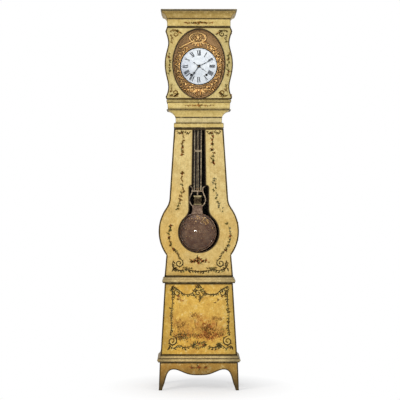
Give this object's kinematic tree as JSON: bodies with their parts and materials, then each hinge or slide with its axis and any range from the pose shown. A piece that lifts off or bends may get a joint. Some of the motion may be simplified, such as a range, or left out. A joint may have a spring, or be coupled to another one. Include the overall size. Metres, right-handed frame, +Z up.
{
  "type": "longcase clock",
  "caption": "Painted violin-shaped longcase clock with enamel dial, pressed brass surround, glazed hood and trunk doors, ornamental lyre pendulum, wheel trains and weights.",
  "frame": {"origin": "middle of the floor footprint, at floor height", "axes": "+Z up, the dial faces -Y, +Y towards the wall, +X to the right as seen from the front"},
  "size_m": [0.524, 0.33, 2.392],
  "materials": {
    "base_front": "ochre oil paint over pine, aged and slightly crackled, low sheen",
    "base_sides": "ochre oil paint over pine, aged and slightly crackled, low sheen",
    "trunk_door": "ochre oil paint over pine, aged and slightly crackled, low sheen",
    "trunk_side_left": "ochre oil paint over pine, aged and slightly crackled, low sheen",
    "trunk_side_right": "ochre oil paint over pine, aged and slightly crackled, low sheen",
    "hood_door": "ochre oil paint over pine, aged and slightly crackled, low sheen",
    "hood_side_left": "ochre oil paint over pine, aged and slightly crackled, low sheen",
    "hood_side_right": "ochre oil paint over pine, aged and slightly crackled, low sheen",
    "base_moulding": "ochre oil paint over pine, aged and slightly crackled, low sheen",
    "apron_front": "ochre oil paint over pine, aged and slightly crackled, low sheen",
    "apron_sides": "ochre oil paint over pine, aged and slightly crackled, low sheen",
    "waist_moulding": "ochre oil paint over pine, aged and slightly crackled, low sheen",
    "collar_moulding": "ochre oil paint over pine, aged and slightly crackled, low sheen",
    "cove_moulding": "ochre oil paint over pine, aged and slightly crackled, low sheen",
    "hood_rail": "ochre oil paint over pine, aged and slightly crackled, low sheen",
    "hood_frieze": "ochre oil paint over pine, aged and slightly crackled, low sheen",
    "cornice": "ochre oil paint over pine, aged and slightly crackled, low sheen",
    "neck_band": "pale cream oil paint over pine, aged",
    "top_board": "dark olive paint over pine, worn",
    "trunk_glass_bead": "dark brown paint, low sheen",
    "hood_glass_bead": "dark brown paint, low sheen",
    "back_board": "bare pine, aged and unpolished",
    "base_floor": "bare pine, aged and unpolished",
    "seat_board": "bare pine, aged and unpolished",
    "trunk_glass": "clear old window glass",
    "hood_glass": "clear old window glass",
    "hinge_plates": "dull aged brass",
    "trunk_hinge_leaves": "dull aged brass",
    "hood_hinge_leaves": "dull aged brass",
    "movement_cage": "dark forged iron, oiled",
    "bearing_bars": "dark forged iron, oiled",
    "bell": "cast bell bronze, dull",
    "dial": "white fired enamel, glossy",
    "dial_surround": "thin pressed brass, patinated in the hollows and bright on the tops",
    "going_great_wheel": "cut brass, dull polish",
    "centre_wheel": "cut brass, dull polish",
    "third_wheel": "cut brass, dull polish",
    "escape_wheel": "cut brass, dull polish",
    "minute_wheel": "cut brass, dull polish",
    "hour_wheel": "cut brass, dull polish",
    "strike_great_wheel": "cut brass, dull polish",
    "pin_wheel": "cut brass, dull polish",
    "going_barrel": "turned brass on a steel arbor",
    "strike_barrel": "turned brass on a steel arbor",
    "anchor": "filed steel, grey",
    "hammer": "filed steel, grey",
    "strike_fly": "filed steel, grey",
    "minute_hand": "blued steel, dark",
    "hour_hand": "blued steel, dark",
    "alarm_hand": "blued steel, dark",
    "pendulum_suspension": "filed steel, grey",
    "pendulum_bars": "embossed brass sheet, patinated",
    "pendulum_lyre": "embossed brass sheet, patinated",
    "pendulum_bob": "embossed copper-coloured brass sheet, dull brown patina",
    "rating_nut": "turned brass",
    "going_weight": "black cast iron",
    "strike_weight": "black cast iron",
    "going_line": "twisted gut line",
    "strike_line": "twisted gut line"
  },
  "bodies": {
    "case": {"base_front": "base_front", "base_sides": "base_sides", "base_floor": "base_floor", "base_moulding": "base_moulding", "apron_front": "apron_front", "apron_sides": "apron_sides", "waist_moulding": "waist_moulding", "trunk_side_left": "trunk_side_left", "trunk_side_right": "trunk_side_right", "back_board": "back_board", "collar_moulding": "collar_moulding", "neck_band": "neck_band", "cove_moulding": "cove_moulding", "hood_rail": "hood_rail", "hood_side_left": "hood_side_left", "hood_side_right": "hood_side_right", "hood_frieze": "hood_frieze", "cornice": "cornice", "top_board": "top_board", "seat_board": "seat_board", "hinge_plates": "hinge_plates", "movement_cage": "movement_cage", "bearing_bars": "bearing_bars", "bell": "bell", "dial": "dial", "dial_surround": "dial_surround", "going_line": "going_line", "strike_line": "strike_line"},
    "hood_door": {"hood_door": "hood_door", "hood_glass": "hood_glass", "hood_glass_bead": "hood_glass_bead", "hood_hinge_leaves": "hood_hinge_leaves"},
    "trunk_door": {"trunk_door": "trunk_door", "trunk_glass": "trunk_glass", "trunk_glass_bead": "trunk_glass_bead", "trunk_hinge_leaves": "trunk_hinge_leaves"},
    "going_great": {"going_great_wheel": "going_great_wheel"},
    "going_barrel": {"going_barrel": "going_barrel"},
    "centre": {"centre_wheel": "centre_wheel", "minute_hand": "minute_hand"},
    "third": {"third_wheel": "third_wheel"},
    "escape": {"escape_wheel": "escape_wheel"},
    "anchor": {"anchor": "anchor"},
    "minute_work": {"minute_wheel": "minute_wheel"},
    "hour": {"hour_wheel": "hour_wheel", "hour_hand": "hour_hand"},
    "alarm": {"alarm_hand": "alarm_hand"},
    "strike_great": {"strike_great_wheel": "strike_great_wheel"},
    "strike_barrel": {"strike_barrel": "strike_barrel"},
    "pin": {"pin_wheel": "pin_wheel"},
    "fly": {"strike_fly": "strike_fly"},
    "hammer": {"hammer": "hammer"},
    "going_weight": {"going_weight": "going_weight"},
    "strike_weight": {"strike_weight": "strike_weight"},
    "pendulum": {"pendulum_suspension": "pendulum_suspension", "pendulum_bars": "pendulum_bars", "pendulum_lyre": "pendulum_lyre", "pendulum_bob": "pendulum_bob"},
    "rating_nut": {"rating_nut": "rating_nut"}
  },
  "joints": [
    {"name": "hood_door_hinge", "type": "hinge", "parent": "case", "child": "hood_door", "pos_m": [0.205, -0.1025, 2.054], "axis": [0, 0, 1], "range_deg": [0, 120]},
    {"name": "trunk_door_hinge", "type": "hinge", "parent": "case", "child": "trunk_door", "pos_m": [0.2465, -0.0725, 0.999], "axis": [0, 0, 1], "range_deg": [0, 110]},
    {"name": "pendulum_swing", "type": "hinge", "parent": "case", "child": "pendulum", "pos_m": [0, -0.054, 2.14], "axis": [0, 1, 0], "range_deg": [-4.5, 3.5]},
    {"name": "anchor_rock", "type": "hinge", "parent": "case", "child": "anchor", "pos_m": [0, 0, 2.14], "axis": [0, 1, 0], "range_deg": [-4.5, 3.5]},
    {"name": "centre_arbor", "type": "hinge", "parent": "case", "child": "centre", "pos_m": [0, 0, 2.04], "axis": [0, 1, 0], "continuous": true},
    {"name": "going_great_turn", "type": "hinge", "parent": "case", "child": "going_great", "pos_m": [-0.048, 0, 1.986], "axis": [0, 1, 0], "continuous": true},
    {"name": "third_turn", "type": "hinge", "parent": "case", "child": "third", "pos_m": [-0.02, 0, 2.07464], "axis": [0, 1, 0], "continuous": true},
    {"name": "escape_turn", "type": "hinge", "parent": "case", "child": "escape", "pos_m": [0, 0, 2.10214], "axis": [0, 1, 0], "continuous": true},
    {"name": "minute_work_turn", "type": "hinge", "parent": "case", "child": "minute_work", "pos_m": [-0.02078, 0, 2.028], "axis": [0, 1, 0], "continuous": true},
    {"name": "hour_turn", "type": "hinge", "parent": "case", "child": "hour", "pos_m": [0, 0, 2.04], "axis": [0, 1, 0], "continuous": true},
    {"name": "alarm_turn", "type": "hinge", "parent": "case", "child": "alarm", "pos_m": [0, 0, 2.04], "axis": [0, 1, 0], "continuous": true},
    {"name": "pin_wheel_turn", "type": "hinge", "parent": "case", "child": "pin", "pos_m": [0.07, 0, 2.05482], "axis": [0, 1, 0], "continuous": true},
    {"name": "strike_great_turn", "type": "hinge", "parent": "case", "child": "strike_great", "pos_m": [0.048, 0, 1.986], "axis": [0, 1, 0], "continuous": true},
    {"name": "fly_turn", "type": "hinge", "parent": "case", "child": "fly", "pos_m": [0.06, 0, 2.09355], "axis": [0, 1, 0], "continuous": true},
    {"name": "hammer_lift", "type": "hinge", "parent": "case", "child": "hammer", "pos_m": [0.072, 0, 2.128], "axis": [0, 1, 0], "range_deg": [0, 11]},
    {"name": "going_weight_travel", "type": "slide", "parent": "case", "child": "going_weight", "axis": [0, 0, 1], "range_m": [0, 1.1], "deforming": ["going_line"]},
    {"name": "strike_weight_travel", "type": "slide", "parent": "case", "child": "strike_weight", "axis": [0, 0, 1], "range_m": [0, 1.1], "deforming": ["strike_line"]},
    {"name": "going_barrel_turn", "type": "hinge", "parent": "case", "child": "going_barrel", "pos_m": [-0.048, 0, 1.986], "axis": [0, 1, 0], "range_deg": [0, 2189]},
    {"name": "strike_barrel_turn", "type": "hinge", "parent": "case", "child": "strike_barrel", "pos_m": [0.048, 0, 1.986], "axis": [0, 1, 0], "range_deg": [-2189, 0]},
    {"name": "rating_nut_turn", "type": "hinge", "parent": "pendulum", "child": "rating_nut", "pos_m": [-0.0111, -0.054, 0.86765], "axis": [0.0087, 0, 1], "continuous": true}
  ],
  "couplings": [
    {"joint": "anchor_rock", "follows": "pendulum_swing", "ratio": 1},
    {"joint": "going_great_turn", "follows": "centre_arbor", "ratio": -0.1},
    {"joint": "third_turn", "follows": "centre_arbor", "ratio": -8},
    {"joint": "escape_turn", "follows": "centre_arbor", "ratio": 56},
    {"joint": "minute_work_turn", "follows": "centre_arbor", "ratio": -0.33333},
    {"joint": "hour_turn", "follows": "centre_arbor", "ratio": 0.083333},
    {"joint": "strike_great_turn", "follows": "pin_wheel_turn", "ratio": -0.1},
    {"joint": "fly_turn", "follows": "pin_wheel_turn", "ratio": -8},
    {"joint": "going_barrel_turn", "follows": "going_weight_travel", "rad_per_m": 34.722},
    {"joint": "strike_barrel_turn", "follows": "strike_weight_travel", "rad_per_m": -34.722}
  ]
}
